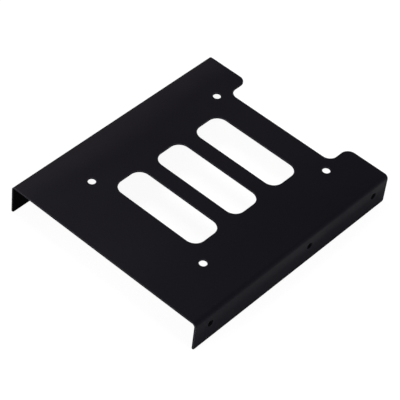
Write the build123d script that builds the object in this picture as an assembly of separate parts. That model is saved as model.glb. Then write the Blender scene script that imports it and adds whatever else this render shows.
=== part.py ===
from build123d import *
import os

# Drive bay adapter bracket: one steel sheet, punched and then folded down along both sides.
# It carries a small drive under its plate and takes the place of a larger drive in a bay.
# X runs across, from flange to flange. Y runs along the flanges, towards the notched end.
# Z is up, and the bracket stands on the lower edges of its flanges. The origin is on the
# ground under the middle of the sheet. All sizes are in millimetres.

# The folded sheet
width = 101.6  # over the two flanges, which is the width of the larger drive
flange_height = 15.0  # lower edge of a flange to the top face of the plate
sheet = 0.8  # thickness of the coated sheet
bend_inside = 1.2  # inside radius of both folds
flange_corner = 1.0  # rounding at the lower corners of the flanges
rim_break = 0.15  # bevel that breaks every sheared rim, on both faces

# Tapped holes in the flanges, at the places of the larger drive's side screws
side_front = 9.3  # front edge of the sheet to the first hole
side_span = 101.6  # first hole to last hole
side_middle = 60.0  # first hole to middle hole
side_rear = 8.7  # last hole to the rear edge of the sheet
side_drop = 6.35  # top face of the plate down to the holes' axes
tap_bore = 2.9  # bore that the screw's thread is cut in
collar_wall = 0.5  # wall of the collar drawn inwards round the bore
collar_height = 1.0  # how far the collar stands in from the flange
mouth_round = 0.4  # rounding that drawing leaves round the bore's mouth in the outer face

# Clearance holes in the plate, at the places of the smaller drive's bottom screws
drive_span_x = 61.72
drive_span_y = 76.6
drive_hole = 3.5
drive_front = 26.0  # front edge of the sheet to the first pair

# Slots across the plate
slot_count = 3
slot_pitch = 24.0
slot_length = 46.0
slot_width = 16.0
slot_radius = 5.0
slot_shift = -2.2  # middle of the slots from the middle of the drive holes, along Y

# Notch for the drive's plugs, between the two ears at the rear
notch_width = 57.0
notch_depth = 11.5
notch_radius = 4.0  # both where the notch turns and on the ears' tips

length = side_front + side_span + side_rear
bend_outside = bend_inside + sheet
y_front = -length / 2
y_rear = length / 2
y_drive = y_front + drive_front + drive_span_y / 2
z_plate = flange_height - sheet / 2
z_side = flange_height - side_drop
side_places = [y_front + side_front + step for step in (0, side_middle, side_span)]


def folded_channel():
    """The sheet after folding: a constant section with round bends, run along Y."""
    base = (Align.CENTER, Align.MIN)
    outer = Rectangle(width, flange_height, align=base)
    outer = fillet(outer.vertices().group_by(Axis.Y)[-1], bend_outside)
    inner = Rectangle(width - 2 * sheet, flange_height - sheet, align=base)
    inner = fillet(inner.vertices().group_by(Axis.Y)[-1], bend_inside)
    return extrude(Plane.XZ * (outer - inner), length / 2, both=True)


def through_plate(outline):
    """The cutter that punches an outline through the plate and nothing else."""
    return extrude(Pos(0, 0, z_plate) * outline, sheet, both=True)


def notch():
    """A plain rectangle that runs off the rear edge."""
    return Pos(0, y_rear) * Rectangle(notch_width, 2 * notch_depth)


def slots():
    """The row of round-cornered slots across the plate."""
    row = GridLocations(0, slot_pitch, 1, slot_count)
    slot = RectangleRounded(slot_length, slot_width, slot_radius)
    return Pos(0, y_drive + slot_shift) * (Sketch() + row * slot)


def drive_holes():
    """The clearance holes for the four screws of the smaller drive."""
    corners = GridLocations(drive_span_x, drive_span_y, 2, 2)
    return Pos(0, y_drive) * (Sketch() + corners * Circle(drive_hole / 2))


def round_notch(part):
    """Rounds the notch's two inner corners and the two ears' tips."""
    upright = part.edges().filter_by(Axis.Z)
    corners = upright.filter_by(lambda edge: near(abs(edge.center().X), notch_width / 2))
    return fillet(corners, notch_radius)


def round_flange_corners(part):
    """Rounds the lower front and rear corner of each flange, across the sheet."""
    return fillet(part.edges().filter_by(Axis.X).group_by(Axis.Z)[0], flange_corner)


def break_rims(part):
    """Bevels every rim between a face of the sheet and its sheared edge."""
    edges = part.edges()
    fold_lines = edges.filter_by(lambda edge: near(edge.length, length))
    across_sheet = edges.filter_by(lambda edge: near(edge.length, sheet))
    return chamfer(edges - fold_lines - across_sheet, rim_break)


def draw_side_holes(part):
    """Draws a collar inwards from each flange at every side hole, bores it and rounds its mouth."""
    base = (Align.CENTER, Align.CENTER, Align.MIN)
    collar_radius = tap_bore / 2 + collar_wall
    collar = Pos(0, 0, sheet / 2) * Cylinder(collar_radius, sheet / 2 + collar_height, align=base)
    bore = Cylinder(tap_bore / 2, sheet + 2 * collar_height, align=base)
    places = [inwards(side, y) for side in (-1, 1) for y in side_places]
    part += [place * collar for place in places]
    part -= [place * bore for place in places]
    rings = part.edges().filter_by(lambda edge: edge.is_closed)
    mouths = rings.filter_by(lambda edge: near(abs(edge.center().X), width / 2))
    return fillet(mouths, mouth_round)


def inwards(side, y):
    """The place of a side hole on a flange's outer face, with Z pointing into the bracket."""
    return Plane(origin=(side * width / 2, y, z_side), z_dir=(-side, 0, 0))


def near(one, other):
    """True where two lengths are the same but for rounding."""
    return abs(one - other) < sheet / 1000


def bracket():
    """The whole bracket: folded, punched, bevelled, and the side holes drawn last."""
    part = folded_channel()
    part -= through_plate(notch())
    part = round_notch(part)
    part = round_flange_corners(part)
    part -= through_plate(slots())
    part -= through_plate(drive_holes())
    part = break_rims(part)
    return draw_side_holes(part)


os.makedirs("parts", exist_ok=True)
export_step(bracket(), "parts/adapter_bracket.step")
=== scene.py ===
"""The drive bay adapter bracket: its coat, its tapped threads, and a plain pale studio.

Everything is in metres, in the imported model's frame: X runs from flange to flange, Y along the
flanges towards the notched end, and Z up from the ground that the bracket stands on.
"""

import logging
import math
from dataclasses import dataclass
from enum import Enum
from typing import Any

import bpy
from mathutils import Matrix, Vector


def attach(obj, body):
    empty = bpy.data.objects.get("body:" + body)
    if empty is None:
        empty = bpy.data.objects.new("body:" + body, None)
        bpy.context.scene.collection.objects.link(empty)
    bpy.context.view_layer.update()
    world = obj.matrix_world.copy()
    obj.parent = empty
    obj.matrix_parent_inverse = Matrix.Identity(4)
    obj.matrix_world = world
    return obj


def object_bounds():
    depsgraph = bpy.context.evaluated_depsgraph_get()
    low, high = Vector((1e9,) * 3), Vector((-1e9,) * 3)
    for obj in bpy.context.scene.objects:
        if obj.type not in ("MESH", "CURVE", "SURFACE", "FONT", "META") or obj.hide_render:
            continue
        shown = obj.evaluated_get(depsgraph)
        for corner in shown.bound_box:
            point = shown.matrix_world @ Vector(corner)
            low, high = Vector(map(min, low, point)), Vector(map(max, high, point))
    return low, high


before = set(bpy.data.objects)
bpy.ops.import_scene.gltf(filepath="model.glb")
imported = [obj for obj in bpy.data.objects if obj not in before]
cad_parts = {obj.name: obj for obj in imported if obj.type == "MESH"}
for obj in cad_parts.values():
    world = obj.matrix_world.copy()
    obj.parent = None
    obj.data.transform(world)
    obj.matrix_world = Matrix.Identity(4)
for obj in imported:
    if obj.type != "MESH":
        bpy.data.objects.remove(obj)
cad_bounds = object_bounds()
low, high = cad_bounds

MM = 0.001
MICRON = 0.000001
SHEET = 0.8 * MM  # thickness of the folded sheet
BODY = "root"
INWARDS = "inwards"  # the attribute that says which way a side hole runs into the bracket
SOCKET_KINDS = {  # the kind of tree input that takes each kind of value
    float: "NodeSocketFloat", int: "NodeSocketInt", bpy.types.Material: "NodeSocketMaterial"}

log = logging.getLogger("bracket")


def linear(colour: str) -> tuple[float, float, float, float]:
    """Turns an sRGB colour, written as six hex digits, into the linear one that a shader takes.

    The numbers in it are those of the sRGB standard's curve.

    Args:
        colour: Two digits each for red, green and blue.

    Returns:
        Red, green and blue as linear light, and an alpha of one.
    """
    parts = [int(colour[at:at + 2], 16) / 255 for at in (0, 2, 4)]
    light = [part / 12.92 if part <= 0.04045 else ((part + 0.055) / 1.055) ** 2.4 for part in parts]
    return light[0], light[1], light[2], 1.0


def put(
    tree: bpy.types.NodeTree,
    kind: str,
    sockets: dict[str | int, Any] | None = None,
    **settings: Any,
) -> bpy.types.Node:
    """Adds a node to a tree, with its settings and with what goes into its sockets.

    Args:
        tree: The tree that gets the node.
        kind: The node's type.
        sockets: For an input's name or number, its plain value, the output that feeds it, or the
            node whose first output in use feeds it.
        settings: The node's own properties.

    Returns:
        The new node.
    """
    node = tree.nodes.new(kind)
    for name, value in settings.items():
        setattr(node, name, value)
    for name, value in (sockets or {}).items():
        if isinstance(value, bpy.types.Node):
            value = next(output for output in value.outputs if output.enabled)
        if isinstance(value, bpy.types.NodeSocket):
            tree.links.new(value, node.inputs[name])
        else:
            node.inputs[name].default_value = value
    return node


def new_material(name: str) -> tuple[bpy.types.Material, bpy.types.NodeTree]:
    """Makes a material with an empty node tree.

    Args:
        name: The material's name.

    Returns:
        The material, and its tree.
    """
    material = bpy.data.materials.new(name)
    material.use_nodes = True
    material.node_tree.nodes.clear()
    return material, material.node_tree


class Flange(Enum):
    """The bracket's two folded sides, by where their outer faces look along X."""

    LEFT = -1
    RIGHT = 1


@dataclass(frozen=True)
class SideHoles:
    """The six tapped holes in the flanges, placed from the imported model's box."""

    outer_face: float = high.x
    height: float = high.z - 6.35 * MM
    first: float = low.y + 9.3 * MM
    steps: tuple[float, ...] = (0.0, 60.0 * MM, 101.6 * MM)  # from the first hole, along Y
    bore_radius: float = 1.45 * MM
    mouth: float = 0.42 * MM  # depth of the rounded mouth, below which the thread starts

    @property
    def places(self) -> list[float]:
        """Gives the places of a flange's three holes along Y."""
        return [self.first + step for step in self.steps]


@dataclass(frozen=True)
class SatinPowderCoat:
    """Black powder coat, satin, on steel sheet.

    Dry polyester powder is sprayed on the punched and folded sheet and baked to one film. The eye
    sees a cool near-black with a dull, spread gloss. The film has the shallow waves of orange
    peel and a fine matting grain. Its colour holds painted light and shade: painted shade darkens
    it towards +X, and painted light makes it lighter and greyer towards -X. The faces inside the
    fold and the walls of the side holes are painted near-black with hardly any gloss, as painted
    shade. The film is drawn thin over the sheared rims, which are painted greyer, partly for the
    thin film and partly as a painted edge highlight. A greyer band below the folds, strongest
    towards the rear, is a painted highlight.

    The gloss changes in patches and the roughness is even, because an exported model keeps only
    an even roughness of the gloss.
    """

    name: str = "satin_powder_coat"
    film: str = "0d0b12"
    # painted shade: the film is darker towards +X
    painted_shade_film: str = "07060d"
    # painted light: the film is lighter and greyer towards -X
    painted_light_film: str = "19161b"
    # painted highlight: a greyer band below each fold
    painted_highlight_film: str = "1c1b1f"
    # greyer sheared rims: partly a thin film over them, partly a painted edge highlight
    rim_film_and_highlight: str = "48464b"
    # painted shade: a near-black film inside the fold and in the side holes
    inside_shade_film: str = "060508"
    index: float = 1.5
    roughness: float = 0.34
    gloss: tuple[float, float] = (0.10, 0.12)
    gloss_noise: tuple[float, float] = (0.3, 0.7)  # what the patches' noise is at those two
    # little gloss where the shade inside is painted
    inside_shade_gloss: float = 0.02
    patch: float = 34 * MM
    wander: float = 24 * MM  # how far a patch moves the two borders below
    painted_shade_reach: tuple[float, float] = (-10 * MM, 45 * MM)  # across the sheet, towards +X, over which the painted shade deepens
    painted_light_reach: tuple[float, float] = (-36 * MM, -51 * MM)  # across the sheet, towards -X, over which the painted light grows
    # where the painted highlight lies: on the flanges' outer faces, below the folds
    highlight_face: float = high.x - 2 * SHEET
    highlight_foot: tuple[float, float] = (6.5 * MM, 11.0 * MM)
    highlight_top: tuple[float, float] = (high.z, high.z - 2.6 * MM)
    highlight_ends: tuple[float, float] = (-50 * MM, 65 * MM)  # along Y, from least_highlight to the full painted highlight
    least_highlight: float = 0.2
    highlight_noise: tuple[float, float] = (0.3, 0.6)  # of the patches, from least_patch to the full painted highlight
    least_patch: float = 0.4
    inner_half_width: float = high.x - SHEET
    inner_height: float = high.z - SHEET
    skin: float = 0.05 * MM  # how far past a face its mask reaches
    wave: float = 2.4 * MM
    wave_height: float = 14 * MICRON
    wave_detail: float = 0.0
    grain: float = 0.8 * MM  # the real grain is near 0.2 mm, too fine to show
    grain_height: float = 16 * MICRON
    grain_detail: float = 1.0
    rim: float = 0.35 * MM
    rim_samples: int = 6
    rim_likeness: float = 0.8  # cosine between the rounded normal and the true one on a full rim
    holes: SideHoles = SideHoles()

    def material(self) -> bpy.types.Material:
        """Builds the coat as a material on Object coordinates.

        Returns:
            The material.
        """
        material, tree = new_material(self.name)
        place = put(tree, "ShaderNodeTexCoord").outputs["Object"]
        parts = put(tree, "ShaderNodeSeparateXYZ", {0: place})
        patches = put(tree, "ShaderNodeTexNoise", {"Vector": place, "Scale": 1 / self.patch})
        # painted shade: a near-black, nearly glossless film on the faces inside the fold and the
        # walls of the side holes
        inside_shade = put(tree, "ShaderNodeMath", {
            0: self.inner_faces(tree, parts), 1: self.bored_walls(tree, parts)},
            operation="MAXIMUM")
        patchy = put(tree, "ShaderNodeMapRange", {
            "Value": patches, "From Min": self.gloss_noise[0], "From Max": self.gloss_noise[1],
            "To Min": self.gloss[0], "To Max": self.gloss[1]})
        gloss = put(tree, "ShaderNodeMix", {"Factor": inside_shade, "A": patchy, "B": self.inside_shade_gloss})
        relief = self.relief(tree, place)
        shader = put(tree, "ShaderNodeBsdfPrincipled", {
            "Base Color": self.colour(tree, parts, patches, inside_shade), "Roughness": self.roughness,
            "Specular IOR Level": 0.0, "Coat Weight": gloss, "Coat IOR": self.index,
            "Coat Roughness": self.roughness, "Normal": relief, "Coat Normal": relief})
        put(tree, "ShaderNodeOutputMaterial", {"Surface": shader})
        return material

    def colour(
        self,
        tree: bpy.types.NodeTree,
        parts: bpy.types.Node,
        patches: bpy.types.Node,
        inside_shade: bpy.types.Node,
    ) -> bpy.types.Node:
        """Lays the film's colours over one another, from the even film to the painted shade inside.

        Args:
            tree: The material's tree.
            parts: The node with the place's X, Y and Z.
            patches: The noise of the film's patches.
            inside_shade: The mask of the painted shade inside the fold and in the side holes.

        Returns:
            The node that gives the film's colour.
        """
        off_middle = put(tree, "ShaderNodeMath", {0: patches, 1: 0.5}, operation="SUBTRACT")
        across = put(tree, "ShaderNodeMath", {
            0: off_middle, 1: self.wander, 2: parts.outputs["X"]}, operation="MULTIPLY_ADD")
        # painted shade towards +X and painted light towards -X, each across a wavy border
        painted_shade_reach, painted_light_reach = (
            put(tree, "ShaderNodeMapRange", {
                "Value": across, "From Min": reach[0], "From Max": reach[1]},
                interpolation_type="SMOOTHSTEP")
            for reach in (self.painted_shade_reach, self.painted_light_reach))
        layers = (
            (painted_shade_reach, self.painted_shade_film), (painted_light_reach, self.painted_light_film),
            (self.highlight_band(tree, parts, patches), self.painted_highlight_film),
            (self.rims(tree), self.rim_film_and_highlight), (inside_shade, self.inside_shade_film))
        colour = linear(self.film)
        for mask, film in layers:
            colour = put(tree, "ShaderNodeMix", {
                "Factor": mask, "A": colour, "B": linear(film)}, data_type="RGBA")
        return colour

    def highlight_band(
        self, tree: bpy.types.NodeTree, parts: bpy.types.Node, patches: bpy.types.Node
    ) -> bpy.types.Node:
        """Finds the painted highlight, a band below each fold, which fades towards the front.

        Args:
            tree: The material's tree.
            parts: The node with the place's X, Y and Z.
            patches: The noise of the film's patches, which breaks the band up.

        Returns:
            The mask: one on the painted highlight, and zero elsewhere.
        """
        reach = put(tree, "ShaderNodeMath", {0: parts.outputs["X"]}, operation="ABSOLUTE")
        mask = put(tree, "ShaderNodeMath", {0: reach, 1: self.highlight_face}, operation="GREATER_THAN")
        fades = (
            (parts.outputs["Z"], self.highlight_foot, 0.0), (parts.outputs["Z"], self.highlight_top, 0.0),
            (parts.outputs["Y"], self.highlight_ends, self.least_highlight),
            (patches, self.highlight_noise, self.least_patch))
        for value, ends, least in fades:
            fade = put(tree, "ShaderNodeMapRange", {
                "Value": value, "From Min": ends[0], "From Max": ends[1], "To Min": least},
                interpolation_type="SMOOTHSTEP")
            mask = put(tree, "ShaderNodeMath", {0: mask, 1: fade}, operation="MULTIPLY")
        return mask

    def inner_faces(self, tree: bpy.types.NodeTree, parts: bpy.types.Node) -> bpy.types.Node:
        """Finds the faces under the plate and between the flanges.

        Args:
            tree: The material's tree.
            parts: The node with the place's X, Y and Z.

        Returns:
            The mask: one on those faces, and zero elsewhere.
        """
        reach = put(tree, "ShaderNodeMath", {0: parts.outputs["X"]}, operation="ABSOLUTE")
        between = put(tree, "ShaderNodeMath", {
            0: reach, 1: self.inner_half_width + self.skin}, operation="LESS_THAN")
        under = put(tree, "ShaderNodeMath", {
            0: parts.outputs["Z"], 1: self.inner_height + self.skin}, operation="LESS_THAN")
        return put(tree, "ShaderNodeMath", {0: between, 1: under}, operation="MULTIPLY")

    def bored_walls(self, tree: bpy.types.NodeTree, parts: bpy.types.Node) -> bpy.types.Node:
        """Finds the walls of the side holes.

        Args:
            tree: The material's tree.
            parts: The node with the place's X, Y and Z.

        Returns:
            The mask: one on those walls, and zero elsewhere.
        """
        nearest = high.y - low.y  # nothing on the sheet is farther from a hole
        for y in self.holes.places:
            along = put(tree, "ShaderNodeMath", {0: parts.outputs["Y"], 1: y}, operation="SUBTRACT")
            away = put(tree, "ShaderNodeMath", {0: along}, operation="ABSOLUTE")
            nearest = put(tree, "ShaderNodeMath", {0: nearest, 1: away}, operation="MINIMUM")
        rise = put(tree, "ShaderNodeMath", {
            0: parts.outputs["Z"], 1: self.holes.height}, operation="SUBTRACT")
        flat = put(tree, "ShaderNodeCombineXYZ", {"X": nearest, "Y": rise})
        off_axis = put(tree, "ShaderNodeVectorMath", {0: flat}, operation="LENGTH")
        return put(tree, "ShaderNodeMath", {
            0: off_axis, 1: self.holes.bore_radius + self.skin}, operation="LESS_THAN")

    def rims(self, tree: bpy.types.NodeTree) -> bpy.types.Node:
        """Finds the sheared rims, where a rounded normal leaves the true one.

        Args:
            tree: The material's tree.

        Returns:
            The mask: one on the rims, and zero on the faces.
        """
        rounded = put(tree, "ShaderNodeBevel", {"Radius": self.rim}, samples=self.rim_samples)
        true = put(tree, "ShaderNodeNewGeometry").outputs["Normal"]
        likeness = put(tree, "ShaderNodeVectorMath", {0: rounded, 1: true}, operation="DOT_PRODUCT")
        return put(tree, "ShaderNodeMapRange", {
            "Value": likeness, "From Min": 1.0, "From Max": self.rim_likeness})

    def relief(self, tree: bpy.types.NodeTree, place: bpy.types.NodeSocket) -> bpy.types.Node:
        """Lays the matting grain and the waves of orange peel on the surface.

        Args:
            tree: The material's tree.
            place: The Object coordinates.

        Returns:
            The node that gives the normal of the film's surface.
        """
        normal = put(tree, "ShaderNodeNewGeometry").outputs["Normal"]
        reliefs = (
            (self.grain, self.grain_height, self.grain_detail),
            (self.wave, self.wave_height, self.wave_detail))
        for size, height, detail in reliefs:
            noise = put(tree, "ShaderNodeTexNoise", {
                "Vector": place, "Scale": 1 / size, "Detail": detail})
            normal = put(tree, "ShaderNodeBump", {
                "Height": noise, "Distance": height, "Normal": normal})
        return normal


@dataclass
class FoldedSheet:
    """The bracket's one solid: punched, folded sheet, coated all over."""

    node: str = "adapter_bracket"
    coat: SatinPowderCoat = SatinPowderCoat()

    def dress(self) -> bpy.types.Object:
        """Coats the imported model's node, and leaves its shape alone.

        Returns:
            The node's object.
        """
        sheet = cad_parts[self.node]
        coat = self.coat.material()
        for slot in sheet.material_slots:
            slot.material = coat
        return sheet


@dataclass(frozen=True)
class ThreadCoat:
    """The black film in a tapped hole, painted darker than the sheet's coat.

    The thread is cut before the sheet is coated. Little powder reaches it, so the film there is
    thin, dull and uneven. Its darker colour is painted shade in the hole, and the eye sees a dark
    hole with faint turns in it.
    """

    name: str = "coated_thread"
    # painted shade: both colours are darker than the sheet's coat, for the shade in the hole
    film: str = "060607"
    thin_film: str = "0e0e10"
    mottle: float = 0.7 * MM
    mottle_height: float = 4 * MICRON
    roughness: tuple[float, float] = (0.45, 0.65)
    specular: float = 0.08  # a smooth film has 0.5

    def material(self) -> bpy.types.Material:
        """Builds the film as a material on Object coordinates.

        Returns:
            The material.
        """
        material, tree = new_material(self.name)
        place = put(tree, "ShaderNodeTexCoord").outputs["Object"]
        mottle = put(tree, "ShaderNodeTexNoise", {"Vector": place, "Scale": 1 / self.mottle})
        colour = put(tree, "ShaderNodeMix", {
            "Factor": mottle, "A": linear(self.film), "B": linear(self.thin_film)},
            data_type="RGBA")
        roughness = put(tree, "ShaderNodeMapRange", {
            "Value": mottle, "To Min": self.roughness[0], "To Max": self.roughness[1]})
        relief = put(tree, "ShaderNodeBump", {"Height": mottle, "Distance": self.mottle_height})
        shader = put(tree, "ShaderNodeBsdfPrincipled", {
            "Base Color": colour, "Roughness": roughness, "Specular IOR Level": self.specular,
            "Normal": relief})
        put(tree, "ShaderNodeOutputMaterial", {"Surface": shader})
        return material


@dataclass
class SideThreads:
    """The threads cut in the six side holes, for the inch screws that hold a drive in its bay.

    The roots are the wall of the model's bore, and the crests stand in from it.
    """

    name: str = "side_hole_threads"
    holes: SideHoles = SideHoles()
    depth: float = 0.13 * MM
    crest: float = 0.20 * MM
    sunk: float = 0.03 * MM  # how far the thread's foot reaches into the wall
    pitch: float = 0.794 * MM
    flank_angle: float = 30.0
    turns: float = 1.7
    steps: int = 40  # along one turn
    run_out: float = 0.12  # share of the thread over which an end thins out
    end_scale: float = 0.05
    finish: ThreadCoat = ThreadCoat()

    def build(self) -> bpy.types.Object:
        """Builds the six threads as one piece.

        Returns:
            The piece, a plain mesh that rides on the bracket.
        """
        seeds = bpy.data.objects.new(self.name + "_seeds", self.seed_mesh())
        bpy.context.scene.collection.objects.link(seeds)
        values = self.values()
        modifier = seeds.modifiers.new("threads", "NODES")
        modifier.node_group = self.tree(values)
        for socket in modifier.node_group.interface.items_tree:
            if socket.name in values:
                modifier[socket.identifier] = values[socket.name]
        graph = bpy.context.evaluated_depsgraph_get()
        mesh = bpy.data.meshes.new_from_object(seeds.evaluated_get(graph))
        mesh.name = self.name
        mesh.materials.pop(index=0)  # the seeds' own slot, which is empty
        bpy.data.objects.remove(seeds)
        piece = bpy.data.objects.new(self.name, mesh)
        bpy.context.scene.collection.objects.link(piece)
        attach(piece, BODY)
        return piece

    def seed_mesh(self) -> bpy.types.Mesh:
        """Places one point at each hole, and notes which way the hole runs inwards.

        Returns:
            A mesh of six points with that attribute.
        """
        sides = [(flange.value, y) for flange in Flange for y in self.holes.places]
        mesh = bpy.data.meshes.new(self.name + "_seeds")
        reach = self.holes.outer_face - self.holes.mouth
        mesh.from_pydata([(side * reach, y, self.holes.height) for side, y in sides], [], [])
        inwards = mesh.attributes.new(INWARDS, "FLOAT_VECTOR", "POINT")
        for index, (side, _) in enumerate(sides):
            inwards.data[index].vector = (-side, 0, 0)
        return mesh

    def values(self) -> dict[str, Any]:
        """Gives the thread's sizes and its finish.

        Returns:
            The values by the names of the tree's inputs.
        """
        return {
            "Bore Radius": self.holes.bore_radius, "Depth": self.depth, "Crest": self.crest,
            "Sunk": self.sunk, "Pitch": self.pitch, "Turns": self.turns, "Steps": self.steps,
            "Flank Angle": math.radians(self.flank_angle), "Run Out": self.run_out,
            "End Scale": self.end_scale, "Finish": self.finish.material()}

    def tree(self, values: dict[str, Any]) -> bpy.types.NodeTree:
        """Sweeps a thread's section along a helix, and sets one at each hole.

        Args:
            values: What the tree's inputs take, which also says their kinds.

        Returns:
            The tree.
        """
        tree = bpy.data.node_groups.new("tapped_threads", "GeometryNodeTree")
        add = tree.interface.new_socket
        add(name="Holes", in_out="INPUT", socket_type="NodeSocketGeometry")
        for name, value in values.items():
            add(name=name, in_out="INPUT", socket_type=SOCKET_KINDS[type(value)])
        add(name="Threads", in_out="OUTPUT", socket_type="NodeSocketGeometry")
        size = put(tree, "NodeGroupInput").outputs
        thread = put(tree, "GeometryNodeCurveToMesh", {
            "Curve": self.helix(tree, size), "Profile Curve": self.section(tree, size),
            "Scale": self.thinning(tree, size), "Fill Caps": True})
        inwards = put(tree, "GeometryNodeInputNamedAttribute", {"Name": INWARDS},
                      data_type="FLOAT_VECTOR")
        turn = put(tree, "FunctionNodeAlignRotationToVector", {"Vector": inwards}, axis="Z")
        threads = put(tree, "GeometryNodeInstanceOnPoints", {
            "Points": size["Holes"], "Instance": thread, "Rotation": turn})
        real = put(tree, "GeometryNodeRealizeInstances", {"Geometry": threads})
        finished = put(tree, "GeometryNodeSetMaterial", {
            "Geometry": real, "Material": size["Finish"]})
        put(tree, "NodeGroupOutput", {"Threads": finished})
        return tree

    @staticmethod
    def helix(tree: bpy.types.NodeTree, size: bpy.types.NodeOutputs) -> bpy.types.Node:
        """Winds the thread's path along the bore's wall.

        Args:
            tree: The threads' tree.
            size: The tree's inputs.

        Returns:
            The node that gives the path, with the bore's axis along Z.
        """
        long = put(tree, "ShaderNodeMath", {0: size["Pitch"], 1: size["Turns"]},
                   operation="MULTIPLY")
        helix = put(tree, "GeometryNodeCurveSpiral", {
            "Resolution": size["Steps"], "Rotations": size["Turns"],
            "Start Radius": size["Bore Radius"], "End Radius": size["Bore Radius"],
            "Height": long, "Reverse": True})
        return put(tree, "GeometryNodeSetCurveNormal", {"Curve": helix}, mode="Z_UP")

    @staticmethod
    def section(tree: bpy.types.NodeTree, size: bpy.types.NodeOutputs) -> bpy.types.Node:
        """Draws the thread's section, a foot sunk in the wall and a flat crest towards the axis.

        Args:
            tree: The threads' tree.
            size: The tree's inputs.

        Returns:
            The node that gives the section.
        """
        tall = put(tree, "ShaderNodeMath", {0: size["Depth"], 1: size["Sunk"]}, operation="ADD")
        slope = put(tree, "ShaderNodeMath", {0: size["Flank Angle"]}, operation="TANGENT")
        flank = put(tree, "ShaderNodeMath", {0: tall, 1: slope}, operation="MULTIPLY")
        foot = put(tree, "ShaderNodeMath", {0: flank, 1: 2.0, 2: size["Crest"]},
                   operation="MULTIPLY_ADD")
        trapezium = put(tree, "GeometryNodeCurvePrimitiveQuadrilateral", {
            "Bottom Width": foot, "Top Width": size["Crest"], "Height": tall, "Offset": 0.0},
            mode="TRAPEZOID")
        # The section is drawn about its middle, so half its height goes to each side.
        inset = put(tree, "ShaderNodeMath", {0: tall, 1: -0.5, 2: size["Sunk"]},
                    operation="MULTIPLY_ADD")
        shift = put(tree, "ShaderNodeCombineXYZ", {"X": inset})
        return put(tree, "GeometryNodeTransform", {
            "Geometry": trapezium, "Rotation": (0, 0, math.radians(90)), "Translation": shift})

    @staticmethod
    def thinning(tree: bpy.types.NodeTree, size: bpy.types.NodeOutputs) -> bpy.types.Node:
        """Thins the thread towards both ends, as a tap leaves it.

        Args:
            tree: The threads' tree.
            size: The tree's inputs.

        Returns:
            The node that gives the section's scale along the path.
        """
        along = put(tree, "GeometryNodeSplineParameter")
        left = put(tree, "ShaderNodeMath", {0: 1.0, 1: along}, operation="SUBTRACT")
        to_end = put(tree, "ShaderNodeMath", {0: along, 1: left}, operation="MINIMUM")
        return put(tree, "ShaderNodeMapRange", {
            "Value": to_end, "From Max": size["Run Out"], "To Min": size["End Scale"]},
            interpolation_type="SMOOTHSTEP")


def facing(azimuth: float, elevation: float, roll: float = 0.0) -> Matrix:
    """Gives the turn of a lamp or camera that looks down its -Z at the bracket.

    Args:
        azimuth: Degrees round the bracket, from the front towards the right flange.
        elevation: Degrees above the floor.
        roll: Degrees about the line of sight.

    Returns:
        The turn, whose Z points from the bracket to the lamp or camera.
    """
    return (
        Matrix.Rotation(math.radians(azimuth), 4, "Z")
        @ Matrix.Rotation(math.radians(90 - elevation), 4, "X")
        @ Matrix.Rotation(math.radians(roll), 4, "Z")
    )


@dataclass(frozen=True)
class Camera:
    """The photograph's camera, by where it stands from the point it looks at."""

    azimuth: float = 37.319
    elevation: float = 45.320
    roll: float = 7.157
    distance: float = 756.51 * MM
    target: tuple[float, float, float] = (6.62 * MM, -9.14 * MM, high.z)
    lens: float = 167.25  # in millimetres, as Blender takes it
    nearest: float = 10 * MM

    def stand(self) -> bpy.types.Object:
        """Sets the camera up and makes it the scene's own.

        Returns:
            The camera's object.
        """
        lens = bpy.data.cameras.new("camera")
        lens.lens = self.lens
        lens.sensor_fit = "HORIZONTAL"
        lens.clip_start = self.nearest
        camera = bpy.data.objects.new("camera", lens)
        camera.matrix_world = (
            Matrix.Translation(self.target)
            @ facing(self.azimuth, self.elevation, self.roll)
            @ Matrix.Translation((0, 0, self.distance))
        )
        bpy.context.scene.collection.objects.link(camera)
        bpy.context.scene.camera = camera
        return camera


@dataclass(frozen=True)
class Softbox:
    """A soft square lamp that looks at the bracket.

    Its place is given as the photograph's camera's is: an azimuth round the bracket, an elevation
    above the floor, both in degrees, and a distance. One that isn't mirrored lights the coat but
    leaves no glare on it, as behind a polarising sheet, so the coat stays black from low down.
    """

    name: str
    azimuth: float
    elevation: float
    watts: float
    mirrored: bool = True
    distance: float = 450 * MM
    side: float = 200 * MM

    def hang(self) -> bpy.types.Object:
        """Hangs the lamp and turns it to the bracket.

        Returns:
            The lamp's object.
        """
        light = bpy.data.lights.new(self.name, "AREA")
        light.shape = "SQUARE"
        light.size = self.side
        light.energy = self.watts
        lamp = bpy.data.objects.new(self.name, light)
        turned = facing(self.azimuth, self.elevation)
        lamp.matrix_world = turned @ Matrix.Translation((0, 0, self.distance))
        lamp.visible_camera = False
        lamp.visible_glossy = self.mirrored
        bpy.context.scene.collection.objects.link(lamp)
        return lamp


@dataclass(frozen=True)
class ByRay:
    """A value for what the camera sees directly, and one for what it sees mirrored."""

    direct: float
    mirrored: float

    def value(self, tree: bpy.types.NodeTree, otherwise: float) -> bpy.types.Node:
        """Gives the value by how a ray has come.

        Args:
            tree: The tree that needs the value.
            otherwise: The value for what only lights the bracket.

        Returns:
            The node that gives the value.
        """
        path = put(tree, "ShaderNodeLightPath").outputs
        bent = put(tree, "ShaderNodeMath", {
            0: path["Is Glossy Ray"], 1: path["Is Transmission Ray"]}, operation="ADD",
            use_clamp=True)
        lit = put(tree, "ShaderNodeMath", {
            0: bent, 1: self.mirrored - otherwise, 2: otherwise}, operation="MULTIPLY_ADD")
        return put(tree, "ShaderNodeMath", {
            0: path["Is Camera Ray"], 1: self.direct - otherwise, 2: lit},
            operation="MULTIPLY_ADD")


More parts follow.
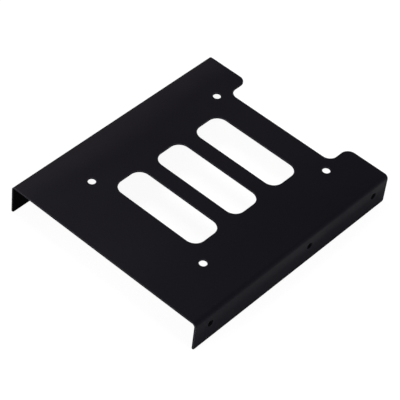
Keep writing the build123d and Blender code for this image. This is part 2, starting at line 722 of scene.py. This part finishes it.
@dataclass(frozen=True)
class WhitePaper:
    """White background paper, matt, rolled out flat.

    The eye sees an even white that keeps the bracket's soft shadow. The paper's glow is seen, by
    the camera and in the coat's gloss, but lights nothing. In the gloss it is dimmer near the
    bracket than far from it.
    """

    name: str = "paper"
    colour: str = "e4e4e4"
    shade: ByRay = ByRay(direct=0.16, mirrored=1.12)  # how much of the lamps' light it shows
    glow: ByRay = ByRay(direct=0.93, mirrored=0.25)
    far_glow: ByRay = ByRay(direct=1.0, mirrored=0.85)
    glow_reach: tuple[float, float] = (120 * MM, 500 * MM)  # from under the bracket's middle

    def material(self) -> bpy.types.Material:
        """Builds the paper as a material on Object coordinates.

        Returns:
            The material.
        """
        material, tree = new_material(self.name)
        colour = put(tree, "ShaderNodeVectorMath", {
            0: linear(self.colour)[:3], "Scale": self.shade.value(tree, 1.0)}, operation="SCALE")
        lit = put(tree, "ShaderNodeBsdfDiffuse", {"Color": colour})
        place = put(tree, "ShaderNodeTexCoord").outputs["Object"]
        away = put(tree, "ShaderNodeVectorMath", {0: place}, operation="LENGTH")
        far = put(tree, "ShaderNodeMapRange", {
            "Value": away, "From Min": self.glow_reach[0], "From Max": self.glow_reach[1]},
            interpolation_type="SMOOTHSTEP")
        glow = put(tree, "ShaderNodeMix", {
            "Factor": far, "A": self.glow.value(tree, 0.0), "B": self.far_glow.value(tree, 0.0)})
        white = put(tree, "ShaderNodeEmission", {"Strength": glow})
        paper = put(tree, "ShaderNodeAddShader", {0: lit, 1: white})
        put(tree, "ShaderNodeOutputMaterial", {"Surface": paper})
        return material


@dataclass
class Studio:
    """A white paper floor, four softboxes and an even white surround."""

    floor_side: float = 6.0
    paper: WhitePaper = WhitePaper()
    softboxes: tuple[Softbox, ...] = (
        Softbox("main_softbox", azimuth=-90, elevation=65, watts=1.00),
        Softbox("front_softbox", azimuth=0, elevation=20, watts=1.40, mirrored=False),
        Softbox("right_softbox", azimuth=90, elevation=12, watts=1.30, mirrored=False),
        Softbox("back_softbox", azimuth=180, elevation=12, watts=1.32, mirrored=False),
    )
    backdrop: ByRay = ByRay(direct=1.0, mirrored=1.0)
    surround: float = 0.10

    def build(self) -> None:
        """Lays the floor, hangs the lamps and lights the surround."""
        self.lay_floor()
        for softbox in self.softboxes:
            softbox.hang()
        self.light_surround()
        bpy.context.scene.view_settings.view_transform = "Standard"

    def lay_floor(self) -> bpy.types.Object:
        """Lays the paper under the bracket.

        Returns:
            The floor's object.
        """
        half = self.floor_side / 2
        corners = [(-half, -half, 0), (half, -half, 0), (half, half, 0), (-half, half, 0)]
        mesh = bpy.data.meshes.new("paper_floor")
        mesh.from_pydata(corners, [], [(0, 1, 2, 3)])
        mesh.materials.append(self.paper.material())
        floor = bpy.data.objects.new("paper_floor", mesh)
        bpy.context.scene.collection.objects.link(floor)
        return floor

    def light_surround(self) -> None:
        """Lights the bracket evenly from all round, and shows white behind it."""
        world = bpy.data.worlds.new("surround")
        bpy.context.scene.world = world
        world.use_nodes = True
        tree = world.node_tree
        tree.nodes.clear()
        light = put(tree, "ShaderNodeBackground", {
            "Color": linear("ffffff"), "Strength": self.backdrop.value(tree, self.surround)})
        put(tree, "ShaderNodeOutputWorld", {"Surface": light})


def report(piece: bpy.types.Object) -> None:
    """Says what was made of a piece."""
    log.info("%s: %d faces, %s", piece.name, len(piece.data.polygons), piece.active_material.name)


def main() -> None:
    """Dresses the bracket, cuts its threads and sets up the studio."""
    logging.basicConfig(level=logging.INFO, format="%(name)s %(message)s")
    Camera().stand()
    report(FoldedSheet().dress())
    report(SideThreads().build())
    Studio().build()


if __name__ == "__main__":
    main()
